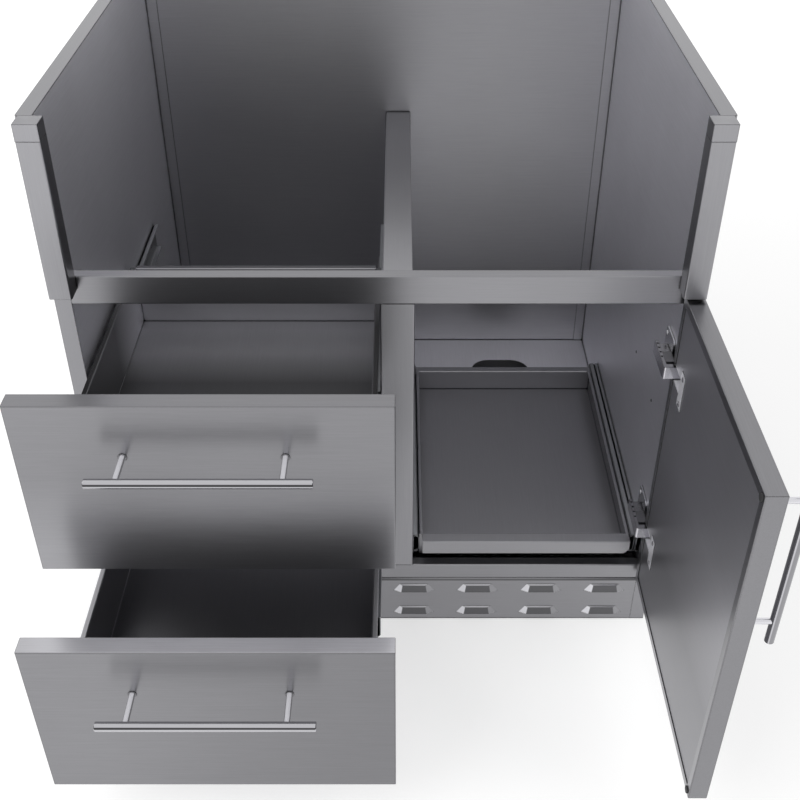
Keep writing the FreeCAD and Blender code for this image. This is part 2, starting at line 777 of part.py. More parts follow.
def carcass():
    """Every fixed piece."""
    return {
        "side_panel_right": side_panel(),
        "side_panel_left": mirrored(side_panel()),
        "liner_right": liner(),
        "liner_left": mirrored(liner()),
        "back_panel": back_panel(),
        "corner_strips": corner_strips(),
        "floor_pan": floor_pan(),
        "partition_left": partition_left(),
        "partition_right": partition_right(),
        "centre_stile": centre_stile(),
        "bottom_rail": bottom_rail(),
        "upper_rail": rail(upper_rail_bottom, upper_rail_bottom + upper_rail_height),
        "kick_plate": kick_plate(),
        "filler_right": filler(),
        "filler_left": mirrored(filler()),
        "filler_cap_right": filler_cap(),
        "filler_cap_left": mirrored(filler_cap()),
        "rear_top_rail": rear_top_rail(),
        "foot_brackets": foot_brackets(),
        "tray_spacer": tray_spacer(),
        "hinge_plates": group([hinge_plate(z) for z in hinge_heights]),
        "hinge_arms": group([hinge_arm(z) for z in hinge_heights]),
    }


def cabinet():
    """All the pieces by name."""
    pieces = carcass()
    pieces.update({f"foot_{name}": foot(x, y) for name, (x, y) in foot_places().items()})
    pieces.update(drawer("upper_drawer", upper_front_bottom, upper_drawer_open))
    pieces.update(drawer("lower_drawer", front_bottom, lower_drawer_open))
    pieces["tray_pan"] = tray_pan()
    for kind in ("outer", "middle", "inner"):
        pieces[f"tray_slide_{kind}"] = tray_slides(kind)
    pieces.update(door())
    return pieces


os.makedirs("parts", exist_ok=True)
for name, shape in cabinet().items():
    shape.exportStep(f"parts/{name}.step")
    print(name, len(shape.Solids), "solids", round(shape.Volume), "mm3", shape.isValid())
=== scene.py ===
import math

import bmesh
import bpy
from mathutils import Matrix, Vector

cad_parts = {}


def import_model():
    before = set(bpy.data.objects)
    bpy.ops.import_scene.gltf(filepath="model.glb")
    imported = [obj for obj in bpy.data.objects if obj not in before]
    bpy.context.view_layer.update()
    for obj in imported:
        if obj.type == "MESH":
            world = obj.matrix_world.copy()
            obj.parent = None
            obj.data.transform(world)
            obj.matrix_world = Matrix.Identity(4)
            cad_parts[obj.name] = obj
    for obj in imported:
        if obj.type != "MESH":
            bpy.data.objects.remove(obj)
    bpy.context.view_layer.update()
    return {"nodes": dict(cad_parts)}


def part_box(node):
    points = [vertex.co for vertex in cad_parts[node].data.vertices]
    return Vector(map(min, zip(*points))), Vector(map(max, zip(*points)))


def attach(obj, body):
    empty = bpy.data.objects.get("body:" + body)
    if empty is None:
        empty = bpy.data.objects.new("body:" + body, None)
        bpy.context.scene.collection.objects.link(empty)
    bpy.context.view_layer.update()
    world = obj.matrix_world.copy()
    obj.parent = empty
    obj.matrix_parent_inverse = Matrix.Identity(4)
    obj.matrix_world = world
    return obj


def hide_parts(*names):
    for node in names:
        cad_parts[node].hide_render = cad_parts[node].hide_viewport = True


# A stainless outdoor kitchen base cabinet: brushed sheet on the outside, darker sheet inside,
# bright round bars, plated slides and hinges. Metres in the frame's own axes, unless it says
# millimetres.

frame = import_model()
nodes = frame["nodes"]

MM = 0.001
X, Y, Z = Vector((1, 0, 0)), Vector((0, 1, 0)), Vector((0, 0, 1))

# Camera of the photograph
CAMERA_PLACE = (0.02866, -1.268, 1.3821)
CAMERA_DOWN = math.radians(36.36)
CAMERA_LENS = 49.98
CAMERA_SENSOR = 36.0
CAMERA_FAR = 60.0

# Lamps: place, target, size and watts
LAMP_AIM = (0, 0, 0.4)
LAMPS = {
    "top_light": ((-0.5, -0.7, 3.6), (0, -0.2, 0), (2.4, 0.9), 16),
    "key_light": ((-2.6, -2.4, 3.4), LAMP_AIM, (2.6, 2.0), 60),
    "fill_light": ((3.2, -1.6, 2.6), LAMP_AIM, (2.0, 2.0), 28),
}

# Surroundings: how bright they light the object, and how the floor glows from its left to its
# right and further out
AMBIENT = 0.75
FLOOR_REACH = 14.0
FLOOR_DROP = 0.5 * MM
FLOOR_ALBEDO = 0.5
FLOOR_GLOW_LEFT = 0.66
FLOOR_GLOW_RIGHT = 0.5
FLOOR_GLOW_REACH = 1.2
FLOOR_GLOW_FAR = 0.25
FLOOR_FAR = (1.2, 4.0)

# Brushed steel: streaks in cycles per metre, along the brushing and across it
TINT = (0.985, 0.98, 1.03)
FINE_STREAKS = (9.0, 1400.0)
FINE_DETAIL = 3.0
BROAD_STREAKS = (28.0, 520.0)
BROAD_DETAIL = 1.5
CLOUD_SCALE = 4.0
CLOUD_DETAIL = 4.0
NOISE_LOW = 0.3
NOISE_HIGH = 0.7
ROUGHNESS_SPREAD = 0.025
STREAK_RELIEF = 0.3 * MM

# Painted shade along seams, and painted shade or highlight along folds: how far they reach, their tone,
# and where that tone starts and ends
SEAM_REACH = 4 * MM
SEAM_TONE = 0.1
SEAM_OPENNESS = (0.48, 0.85)
SEAM_SAMPLES = 6
FOLD_RADIUS = 1.1 * MM
FOLD_TONE = 0.2
FOLD_MATCH = (0.92, 0.997)
FOLD_SAMPLES = 4

# Rubber
RUBBER_DARK = (0.018, 0.018, 0.019, 1)
RUBBER_PALE = (0.04, 0.04, 0.042, 1)
RUBBER_ROUGHNESS = (0.55, 0.75)
RUBBER_GRAIN = 900.0
RUBBER_DETAIL = 3.0
RUBBER_BUMP = 0.25
RUBBER_RELIEF = 0.2 * MM

# How far a normal leans to a direction where a side starts to face it, and where it does in full
FACING = (0.5, 0.8)
FACING_SQUARE = (0.9, 0.98)
FACING_SLOPE = (0.1, 0.2)
FACING_WING = (0.15, 0.35)

# Meshes
EDGE_BREAK = 0.3 * MM
SHARP_ANGLE = math.radians(28)
WELD_REACH = 0.01 * MM
SAME_POINT = 0.001 * MM

# Collars of the bars' posts
COLLAR_RADIUS = 5.3 * MM
COLLAR_HEIGHT = 1.4 * MM
COLLAR_SHOULDER = 0.7
COLLAR_BEVEL = 0.35 * MM

# Screws and rivets: outlines from the foot over the rim to the middle, as shares of the radius and
# of the height. A rivet's heights are in millimetres.
SCREW_OUTLINE = ((0, 0), (1, 0), (1, 0.3), (0.86, 0.75), (0.5, 1), (0.42, 0.98), (0.3, 0.35), (0, 0.3))
SCREW_RADIUS = 3.6 * MM
RIVET_OUTLINE = ((0, 0), (1, 0), (0.96, 0.3), (0.75, 0.75), (0.4, 1.0), (0, 1.08))
RIVET_RADIUS = 3.2 * MM
RIVET_INSET = 9 * MM
RIVET_COUNT = 7
RIVET_MARGIN = 60 * MM

# Hinges. The holes and the noses are on the arms, and a nose's size is in millimetres. A hole is a
# thin dark disc, painted shade where the arm is open.
PLATE_SCREW_INSET = 9 * MM
PLATE_SCREW_SPREAD = 17 * MM
PLATE_SCREW_HEIGHT = 1.6 * MM
CUP_SCREW_INSET = 9 * MM
CUP_SCREW_SPREAD = 20 * MM
CUP_SCREW_HEIGHT = 1.2 * MM
ARM_HALF_HEIGHT = 9.5 * MM
HOLE_OUTLINE = ((0, 0), (1, 0), (1, 1), (0, 1))
HOLE_RADIUS = 1.7 * MM
HOLE_LIFT = 0.15 * MM
HOLE_INSET = 2.5 * MM
HOLE_COUNT = 4
HOLE_PITCH = 11 * MM
HOLE_MARGIN = 7.3 * MM
NOSE_SIZE = (17.6, 26, 15.1)
NOSE_INSET = 0.5 * MM
NOSE_SETBACK = 14.7 * MM
NOSE_BELOW = 6 * MM
NOSE_BREAK = 0.9 * MM

# Slides
SLIDE_SHEET = 1.2 * MM
SLIDE_SLOT_INSET = 40 * MM
SLIDE_SCREW_HEIGHT = 1.8 * MM

# Screws in the right liner: how far they are above its foot and behind its front edge
LINER_SCREW_RADIUS = 2.4 * MM
LINER_SCREW_HEIGHT = 0.7 * MM
LINER_SCREW_LEVEL = 279.5 * MM
LINER_SCREW_DEPTHS = (91.8 * MM, 224.3 * MM)

# Louvres pressed out of the kick plate, in millimetres
LOUVRE_PITCH = 102.6
LOUVRE_COLUMNS = 8
LOUVRE_MOUTHS = (15.5, 66.0)
LOUVRE_HEIGHT = 14.0
LOUVRE_BROW = 12.5
LOUVRE_DEPTH = 5.5
LOUVRE_BROW_DEPTH = 2.6
LOUVRE_HALF_LENGTH = 32.5
LOUVRE_TAPER = 9.5
LOUVRE_WING_SLOPE = 0.458
LOUVRE_BLEND = 0.22
LOUVRE_FOOT_BLEND = 0.25
LOUVRE_SUNK = 0.02
LOUVRE_APRON = 0.5
KICK_PLATE_SHEET = 1.2

# The kick plate's grid, in millimetres: rows above a louvre's mouth, rows of the flat plate, and
# columns as shares of a louvre's face and wing
BEND_RADIUS = 1.2
BEND_STEPS = 4
ROWS_IN_LOUVRE = (0, 0.5, 1.5, 4, 7, 9.5, 11.4, 12.1, 12.5, 12.9, 13.5, 13.9, 14)
ROWS_BETWEEN = (0.35, 0.7)
ROWS_ON_TOP = (0.4, 1.0)
ROW_BELOW_MOUTH = 0.7
ROW_ABOVE_LOUVRE = 0.6
COLUMNS_ON_FACE = (0.0, 0.3, 0.6, 0.85, 0.95)
COLUMNS_ON_WING = (0.0, 0.06, 0.14, 0.35, 0.65, 0.86, 0.94, 1.0)
COLUMNS_BESIDE = (0.5, 1.2)
COLUMN_MARGIN = 8
END_COLUMN = 0.3
GRID_WELD = 0.03
GRID_SLIVER = 0.01


def camera():
    data = bpy.data.cameras.new("camera")
    data.lens = CAMERA_LENS
    data.sensor_width = CAMERA_SENSOR
    data.clip_end = CAMERA_FAR
    eye = bpy.data.objects.new("camera", data)
    eye.location = CAMERA_PLACE
    eye.rotation_euler = (math.pi / 2 - CAMERA_DOWN, 0, 0)
    bpy.context.scene.collection.objects.link(eye)
    bpy.context.scene.camera = eye


# Node tree helpers

def node(tree, kind, **values):
    """A shader node with its properties or inputs set by name. Underscores stand for spaces."""
    made = tree.nodes.new(kind)
    for key, value in values.items():
        if hasattr(made, key):
            setattr(made, key, value)
        else:
            made.inputs[key.replace("_", " ")].default_value = value
    return made


def link(tree, source, target):
    tree.links.new(source, target)


def object_place(tree):
    """A point's place in the object's own axes."""
    return node(tree, "ShaderNodeTexCoord").outputs["Object"]


def object_normal(tree):
    """A point's normal in the object's own axes."""
    return node(tree, "ShaderNodeTexCoord").outputs["Normal"]


def dot(tree, vector, direction):
    """How far a vector goes in a direction."""
    made = node(tree, "ShaderNodeVectorMath", operation="DOT_PRODUCT")
    made.inputs[1].default_value = direction
    link(tree, vector, made.inputs[0])
    return made.outputs["Value"]


def plus(tree, a, b, clamped=False):
    made = node(tree, "ShaderNodeMath", operation="ADD", use_clamp=clamped)
    link(tree, a, made.inputs[0])
    link(tree, b, made.inputs[1])
    return made.outputs[0]


def times(tree, a, b):
    made = node(tree, "ShaderNodeMath", operation="MULTIPLY")
    link(tree, a, made.inputs[0])
    link(tree, b, made.inputs[1])
    return made.outputs[0]


def product(tree, factors):
    total, *others = factors
    for factor in others:
        total = times(tree, total, factor)
    return total


def ranged(tree, value, low, high, start=NOISE_LOW, end=NOISE_HIGH):
    """A value between start and end, mapped to between low and high."""
    made = node(tree, "ShaderNodeMapRange", From_Min=start, From_Max=end, To_Min=low, To_Max=high)
    link(tree, value, made.inputs["Value"])
    return made.outputs["Result"]


def noise(tree, vector, scale, detail):
    made = node(tree, "ShaderNodeTexNoise", Scale=scale, Detail=detail)
    link(tree, vector, made.inputs["Vector"])
    return made.outputs["Fac"]


def relieved(tree, height, strength, distance):
    """A normal that follows a height."""
    made = node(tree, "ShaderNodeBump", Strength=strength, Distance=distance)
    link(tree, height, made.inputs["Height"])
    return made.outputs["Normal"]


def bare_material(name):
    made = bpy.data.materials.new(name)
    made.use_nodes = True
    return made, made.node_tree


# Surroundings

def direct_view(tree):
    """1 for rays that should see the white surroundings: camera, glossy and transmission rays."""
    path = node(tree, "ShaderNodeLightPath")
    seen = plus(tree, path.outputs["Is Camera Ray"], path.outputs["Is Glossy Ray"])
    return plus(tree, seen, path.outputs["Is Transmission Ray"], clamped=True)


def world():
    made = bpy.data.worlds.new("studio")
    made.use_nodes = True
    tree = made.node_tree
    tree.nodes.clear()
    background = node(tree, "ShaderNodeBackground", Color=(1, 1, 1, 1))
    level = ranged(tree, direct_view(tree), AMBIENT, 1.0, 0.0, 1.0)
    link(tree, level, background.inputs["Strength"])
    output = node(tree, "ShaderNodeOutputWorld")
    link(tree, background.outputs[0], output.inputs["Surface"])
    bpy.context.scene.world = made
    bpy.context.scene.view_settings.view_transform = "Standard"


def floor_material(name, glows):
    """A pale matt floor. Where it glows, it does so a little less towards the right."""
    made, tree = bare_material(name)
    tree.nodes.clear()
    matt = node(tree, "ShaderNodeBsdfDiffuse", Color=(FLOOR_ALBEDO,) * 3 + (1,))
    output = node(tree, "ShaderNodeOutputMaterial")
    if not glows:
        link(tree, matt.outputs[0], output.inputs["Surface"])
        return made
    light = node(tree, "ShaderNodeEmission", Color=(1, 1, 1, 1))
    near = ranged(tree, dot(tree, object_place(tree), X), FLOOR_GLOW_LEFT, FLOOR_GLOW_RIGHT,
                  -FLOOR_GLOW_REACH, FLOOR_GLOW_REACH)
    distance = node(tree, "ShaderNodeVectorMath", operation="LENGTH")
    link(tree, object_place(tree), distance.inputs[0])
    far = ranged(tree, distance.outputs["Value"], 0.0, FLOOR_GLOW_FAR, *FLOOR_FAR)
    glow = times(tree, direct_view(tree), plus(tree, near, far))
    link(tree, glow, light.inputs["Strength"])
    both = node(tree, "ShaderNodeAddShader")
    link(tree, matt.outputs[0], both.inputs[0])
    link(tree, light.outputs[0], both.inputs[1])
    link(tree, both.outputs[0], output.inputs["Surface"])
    return made


def studio_floor():
    """A pale floor. The part of it inside the cabinet's base has no glow of its own."""
    low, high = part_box("side_panel_left")[0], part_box("side_panel_right")[1]
    xs = (-FLOOR_REACH, low.x, high.x, FLOOR_REACH)
    ys = (-FLOOR_REACH, low.y, high.y, FLOOR_REACH)
    points = [(x, y, 0) for y in ys for x in xs]
    corners = [row * len(xs) + column for row in range(len(ys) - 1) for column in range(len(xs) - 1)]
    faces = [(i, i + 1, i + len(xs) + 1, i + len(xs)) for i in corners]
    mesh = bpy.data.meshes.new("studio_floor")
    mesh.from_pydata(points, [], faces)
    mesh.materials.append(floor_material("floor_pale", True))
    mesh.materials.append(floor_material("floor_in_base", False))
    mesh.polygons[len(faces) // 2].material_index = 1
    made = bpy.data.objects.new("studio_floor", mesh)
    made.location.z = -FLOOR_DROP
    bpy.context.scene.collection.objects.link(made)


def lights():
    """Soft lamps. The steel doesn't mirror them."""
    for name, (place, target, size, watts) in LAMPS.items():
        data = bpy.data.lights.new(name, "AREA")
        data.shape = "RECTANGLE"
        data.size, data.size_y = size
        data.energy = watts
        made = bpy.data.objects.new(name, data)
        made.location = place
        made.visible_glossy = False
        aim = Vector(target) - Vector(place)
        made.rotation_euler = aim.to_track_quat("-Z", "Y").to_euler()
        bpy.context.scene.collection.objects.link(made)


# Materials

def streaks(tree, direction, scales, detail):
    """Noise that runs in streaks along a direction. scales are those along it and across it."""
    along, across = scales
    scale = [along if part else across for part in direction]
    mapping = node(tree, "ShaderNodeMapping", Scale=scale)
    link(tree, object_place(tree), mapping.inputs["Vector"])
    return noise(tree, mapping.outputs["Vector"], 1.0, detail)


def seam_shade(tree, reach):
    """Painted shade, partly dark joints: darker where another surface is close by, as shadow and dirt
    gather in a joint.
    """
    near = node(tree, "ShaderNodeAmbientOcclusion", samples=SEAM_SAMPLES, Distance=reach)
    return ranged(tree, near.outputs["AO"], SEAM_TONE, 1.0, *SEAM_OPENNESS)


def fold_shade(tree, radius, tone):
    """Painted shade along a fold or a cut edge, or a painted highlight where the tone is above 1."""
    rounded = node(tree, "ShaderNodeBevel", samples=FOLD_SAMPLES, Radius=radius)
    flat = node(tree, "ShaderNodeNewGeometry")
    match = node(tree, "ShaderNodeVectorMath", operation="DOT_PRODUCT")
    link(tree, rounded.outputs["Normal"], match.inputs[0])
    link(tree, flat.outputs["Normal"], match.inputs[1])
    return ranged(tree, match.outputs["Value"], tone, 1.0, *FOLD_MATCH)


def facing_gain(tree, direction, start, end, gain):
    """Painted light or shade: a gain on the sides of a sheet that face a direction, in the object's
    axes, and 1 elsewhere.
    """
    return ranged(tree, dot(tree, object_normal(tree), direction), 1.0, gain, start, end)


def band_gain(tree, direction, middle, half_width, gain):
    """A painted reflection: a gain on a band of a round form, where its normal leans by an amount to a
    direction.
    """
    off = node(tree, "ShaderNodeMath", operation="SUBTRACT")
    off.inputs[1].default_value = middle
    link(tree, dot(tree, object_normal(tree), direction), off.inputs[0])
    size = node(tree, "ShaderNodeMath", operation="ABSOLUTE")
    link(tree, off.outputs[0], size.inputs[0])
    return ranged(tree, size.outputs[0], gain, 1.0, half_width / 2, half_width)


def place_gain(tree, along, start, end, gain):
    """Painted light or shade: a gain that grows from 1 to its whole from start to end along an axis of
    the object.
    """
    return ranged(tree, dot(tree, object_place(tree), along), 1.0, gain, start, end)


def lip_gain(tree, direction, along, start, end, low, high):
    """Painted light or shade: a gain on the sides that squarely face a direction, which changes along
    another one.
    """
    begins, whole = FACING_SQUARE
    gain = node(tree, "ShaderNodeMapRange", From_Min=begins, From_Max=whole, To_Min=1.0)
    link(tree, dot(tree, object_normal(tree), direction), gain.inputs["Value"])
    place = dot(tree, object_place(tree), along)
    link(tree, ranged(tree, place, low, high, start, end), gain.inputs["To Max"])
    return gain.outputs["Result"]


def scaled(tree, colour, level):
    """A colour times a level."""
    made = node(tree, "ShaderNodeCombineColor")
    for channel, amount in zip(("Red", "Green", "Blue"), colour):
        part = node(tree, "ShaderNodeMath", operation="MULTIPLY")
        part.inputs[1].default_value = amount
        link(tree, level, part.inputs[0])
        link(tree, part.outputs[0], made.inputs[channel])
    return made.outputs[0]


def brushed_tangent(tree, direction):
    """The direction across the brushing, in which highlights are drawn out."""
    geometry = node(tree, "ShaderNodeNewGeometry")
    turned = node(tree, "ShaderNodeVectorTransform", vector_type="VECTOR", convert_from="OBJECT",
                  convert_to="WORLD")
    turned.inputs[0].default_value = direction
    across = node(tree, "ShaderNodeVectorMath", operation="CROSS_PRODUCT")
    link(tree, geometry.outputs["Normal"], across.inputs[0])
    link(tree, turned.outputs[0], across.inputs[1])
    return across.outputs[0]


def metal(name, tone, tint=TINT, metallic=1.0, brushed=X, roughness=0.3, anisotropy=0.0, streak=0.0,
          cloud=0.0, bump=0.0, edges=True, reach=SEAM_REACH, fold=FOLD_RADIUS, fold_tone=FOLD_TONE,
          facing=(), bands=(), places=(), lips=()):
    """Bare metal of a tone, brushed in a direction of the object's axes.

    streak and cloud are the shares by which the tone strays. reach, fold and fold_tone are for the
    painted shade along its seams and the painted shade or highlight along its folds, which edges=False
    leaves out. facing, bands, places and lips list what facing_gain, band_gain, place_gain and lip_gain
    take after the tree, each a gain on the tone that paints light or shade.
    """
    made, tree = bare_material(name)
    shader = tree.nodes["Principled BSDF"]
    shader.inputs["Metallic"].default_value = metallic
    shader.inputs["Anisotropic"].default_value = anisotropy
    broad = streaks(tree, brushed, BROAD_STREAKS, BROAD_DETAIL)
    low, high = roughness * (1 - ROUGHNESS_SPREAD), roughness * (1 + ROUGHNESS_SPREAD)
    link(tree, ranged(tree, broad, low, high), shader.inputs["Roughness"])
    factors = []
    if streak:
        fine = streaks(tree, brushed, FINE_STREAKS, FINE_DETAIL)
        factors.append(ranged(tree, fine, 1 - streak, 1 + streak))
        factors.append(ranged(tree, broad, 1 - streak / 2, 1 + streak / 2))
    if cloud:
        clouds = noise(tree, object_place(tree), CLOUD_SCALE, CLOUD_DETAIL)
        factors.append(ranged(tree, clouds, 1 - cloud, 1 + cloud))
    if edges:
        factors.append(seam_shade(tree, reach))
        factors.append(fold_shade(tree, fold, fold_tone))
    factors += [facing_gain(tree, *row) for row in facing]
    factors += [band_gain(tree, *row) for row in bands]
    factors += [place_gain(tree, *row) for row in places]
    factors += [lip_gain(tree, *row) for row in lips]
    colour = [tone * share for share in tint]
    if factors:
        link(tree, scaled(tree, colour, product(tree, factors)), shader.inputs["Base Color"])
    else:
        shader.inputs["Base Color"].default_value = (*colour, 1)
    if bump:
        link(tree, relieved(tree, broad, bump, STREAK_RELIEF), shader.inputs["Normal"])
    if anisotropy:
        link(tree, brushed_tangent(tree, brushed), shader.inputs["Tangent"])
    return made


def rubber(name):
    made, tree = bare_material(name)
    shader = tree.nodes["Principled BSDF"]
    grain = noise(tree, object_place(tree), RUBBER_GRAIN, RUBBER_DETAIL)
    colour = node(tree, "ShaderNodeMixRGB", Color1=RUBBER_DARK, Color2=RUBBER_PALE)
    link(tree, grain, colour.inputs["Fac"])
    link(tree, colour.outputs[0], shader.inputs["Base Color"])
    link(tree, ranged(tree, grain, *RUBBER_ROUGHNESS), shader.inputs["Roughness"])
    link(tree, relieved(tree, grain, RUBBER_BUMP, RUBBER_RELIEF), shader.inputs["Normal"])
    return made


# Kinds of sheet and bar
FRONT = dict(tone=0.26, fold=1.7 * MM, roughness=0.3, anisotropy=0.6, streak=0.04, cloud=0.03, bump=0.1)
CARCASS = dict(FRONT, tone=0.285, fold=1.5 * MM, roughness=0.32, anisotropy=0.5, streak=0.03)
STILE = dict(CARCASS, tone=0.32)
BACK = dict(tone=0.33, roughness=0.4, anisotropy=0.4, streak=0.03, cloud=0.04, bump=0.08)
# Painted light: the liner, the pan and the drawer boxes are the back's sheet with raised tones, which
# stand in for light inside the cabinet. The liner's painted seam shade reaches far, for the shadow in
# the gaps beside the drawer boxes.
LINER = dict(BACK, tone=0.93, reach=14 * MM)
PAN = dict(BACK, tone=0.9)
BOX = dict(BACK, tone=0.43)
# The lower box's folds get a painted highlight, and its painted seam shade barely reaches
LOWER_BOX = dict(BOX, reach=0.4 * MM, fold=1.7 * MM, fold_tone=2.0)
TRAY = dict(BOX, tone=0.32)
DOOR_LINER = dict(BACK, tone=0.35)
BAR = dict(tone=0.5, roughness=0.15, anisotropy=0.3, streak=0.03, bump=0.03, edges=False)
DOOR_BAR = dict(BAR, tone=0.3)
POST = dict(BAR, tone=0.92, metallic=0.5)
DOOR_POST = dict(BAR, tone=0.7)
NICKEL = dict(tone=0.62, roughness=0.22, cloud=0.04)

# Gains on inner sides and edges, which paint light and shade: the fronts' inner sides are lightened to
# the door liner's tone, and the top edges of the liners and partitions and the tops of the hinge arms
# are darkened
INNER_SIDE = DOOR_LINER["tone"] / FRONT["tone"]
DRAWER_INNER_SIDE = (Y, *FACING, INNER_SIDE)
DOOR_INNER_SIDE = (-X, *FACING, INNER_SIDE)
LINER_TOP_EDGE = (Z, *FACING, 0.4)
ARM_TOP = (Z, *FACING, 0.35)

# Painted reflections: gains on stretches of the fronts and the door's liner, paler or darker where they
# would mirror something paler or darker
upper_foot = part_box("upper_drawer_front")[0].z
left_end, right_end = (corner.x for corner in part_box("lower_drawer_front"))
liner_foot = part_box("door_liner")[0].z
UPPER_FRONT_FOOT = (Z, upper_foot + 152 * MM, upper_foot + 32 * MM, 1.3)
LOWER_FRONT_RIGHT = (X, left_end + 77 * MM, right_end - 23 * MM, 0.85)
LOWER_FRONT_TOP = (Z, X, left_end + 7 * MM, left_end + 177 * MM, 1.9, 3.4)
DOOR_LINER_TOP = (Z, liner_foot + 140 * MM, liner_foot + 310 * MM, 1.7)

# Painted light and shade on the upper drawer's box: its underside and its rim are darker, and its floor
# and the inside of its left wall grow paler to the back.
# Along Y - X the outside of its right wall stays dark, which the second row for walls undoes.
BOX_SHEET = 1 * MM
box_low, box_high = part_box("upper_drawer_box")
left_wall = box_low.x + BOX_SHEET
dark_until, pale_from = box_high.y - 179 * MM, box_high.y - 29 * MM
WALL_DARK = 0.46
WALL_PALE = 2.3
UPPER_BOX_UNDERSIDE = (-Z, *FACING, 0.25)
UPPER_BOX_FLOOR = (Z, Y, dark_until, pale_from, 0.2, 1.0)
UPPER_BOX_WALLS = (
    (X, Y - X, dark_until - left_wall, pale_from - left_wall, WALL_DARK, WALL_PALE),
    (X, X, box_low.x + 15 * MM, box_high.x - 15 * MM, 1.0, 1 / WALL_DARK),
)
UPPER_BOX_RIM = (Z, box_high.z - 1.75 * MM, box_high.z - 0.75 * MM, 0.4)

# Painted reflections: dark and bright lines along the bars and posts
UPPER_BAR_LINE = (Z, 0.28, 0.3, 0.1)
LOWER_BAR_LINE = (Z, 0.45, 0.26, 0.1)
DOOR_BAR_LINE = (X, -0.44, 0.18, 1.8)
POST_LINES = ((X, 0.85, 0.2, 0.3), (X, -0.85, 0.2, 0.3))
DOOR_POST_LINE = (Z, -0.85, 0.2, 0.3)

# Painted light and shade: gains on a louvre's face, its brow, its left wing and its right wing
LOUVRE_GAINS = (
    (Z, *FACING_SLOPE, 0.42),
    (Z, *FACING, 3.9),
    (-X, *FACING_WING, 6.1),
    (X, *FACING_WING, 2.6),
)

LOOKS = {
    "drawer_front": dict(FRONT, brushed=X, facing=[DRAWER_INNER_SIDE], places=[UPPER_FRONT_FOOT]),
    "lower_front": dict(FRONT, brushed=X, facing=[DRAWER_INNER_SIDE], places=[LOWER_FRONT_RIGHT],
                        lips=[LOWER_FRONT_TOP]),
    "door_front": dict(FRONT, brushed=Y, facing=[DOOR_INNER_SIDE]),
    "carcass_across": dict(CARCASS, brushed=X),
    "carcass_upright": dict(STILE, brushed=Z),
    "louvred": dict(CARCASS, brushed=X, facing=LOUVRE_GAINS),
    "side_along": dict(CARCASS, brushed=Y),
    "back_across": dict(BACK, brushed=X),
    "liner_along": dict(LINER, brushed=Y, facing=[LINER_TOP_EDGE]),
    "pan_along": dict(PAN, brushed=Y),
    "box_along": dict(LOWER_BOX, brushed=Y),
    "box_shaded": dict(BOX, brushed=Y, facing=[UPPER_BOX_UNDERSIDE], places=[UPPER_BOX_RIM],
                       lips=[UPPER_BOX_FLOOR, *UPPER_BOX_WALLS]),
    "tray_along": dict(TRAY, brushed=Y),
    "door_liner": dict(DOOR_LINER, brushed=Y, places=[DOOR_LINER_TOP]),
    "upper_bar": dict(BAR, brushed=X, bands=[UPPER_BAR_LINE]),
    "lower_bar": dict(BAR, brushed=X, bands=[LOWER_BAR_LINE]),
    "door_bar": dict(DOOR_BAR, brushed=Z, bands=[DOOR_BAR_LINE]),
    "post": dict(POST, brushed=Y, bands=POST_LINES),
    "door_post": dict(DOOR_POST, brushed=X, bands=[DOOR_POST_LINE]),
    "collar": dict(tone=0.2, roughness=0.25, edges=False),
    "zinc": dict(tone=0.36, tint=(0.98, 1.0, 1.03), roughness=0.33, cloud=0.12),
    "nickel": NICKEL,
    "arm_nickel": dict(NICKEL, facing=[ARM_TOP]),
    "cup_nickel": dict(tone=0.8, metallic=0.35, roughness=0.3, cloud=0.04),
    "dull_nickel": dict(tone=0.13, roughness=0.3, cloud=0.1),
    # Dark steel for the liner's screws, and painted shade for the hinge arms' holes
    "dark_steel_and_hole_shade": dict(tone=0.03, roughness=0.4, cloud=0.2, edges=False),
}

materials = {name: metal(name, **look) for name, look in LOOKS.items()}
materials["rubber"] = rubber("rubber")


def material_for(name):
    """Which material a CAD node wears."""
    if "slide" in name or name.startswith("foot") or name == "tray_spacer":
        return "zinc"
    if name.endswith("handle_posts"):
        return "door_post" if name.startswith("door") else "post"
    if "handle" in name:
        return f"{name.split('_')[0]}_bar"
    if name.startswith("hinge"):
        return {"hinge_cups": "cup_nickel", "hinge_arms": "arm_nickel"}.get(name, "nickel")
    if "bumper" in name:
        return "rubber"
    if name == "door_front":
        return "door_front"
    if name.endswith("drawer_front"):
        return "lower_front" if name.startswith("lower") else "drawer_front"
    if name.startswith("filler") or name == "centre_stile":
        return "carcass_upright"
    if name.startswith("upper_drawer_box"):
        return "box_shaded"
    if name == "tray_pan":
        return "tray_along"
    if "_box" in name:
        return "box_along"
    if name.startswith("side_panel"):
        return "side_along"
    if name.startswith(("liner", "partition")):
        return "liner_along"
    if name == "door_liner":
        return "door_liner"
    if name == "floor_pan":
        return "pan_along"
    if name in ("corner_strips", "back_panel") or name.endswith("_liner"):
        return "back_across"
    return "carcass_across"


def soften(made, width=EDGE_BREAK, segments=2):
    """Breaks the sharp edges of a mesh and shades it smoothly, without touching its points."""
    made.data.polygons.foreach_set("use_smooth", [True] * len(made.data.polygons))
    weld = made.modifiers.new("weld", "WELD")
    weld.merge_threshold = WELD_REACH
    bevel = made.modifiers.new("bevel", "BEVEL")
    bevel.width = width
    bevel.segments = segments
    bevel.limit_method = "ANGLE"
    bevel.angle_limit = SHARP_ANGLE
    bevel.use_clamp_overlap = True
    normals = made.modifiers.new("normals", "WEIGHTED_NORMAL")
    normals.keep_sharp = False


def dress_nodes():
    for name, made in nodes.items():
        made.data.materials.clear()
        made.data.materials.append(materials[material_for(name)])
        soften(made)


# Pieces

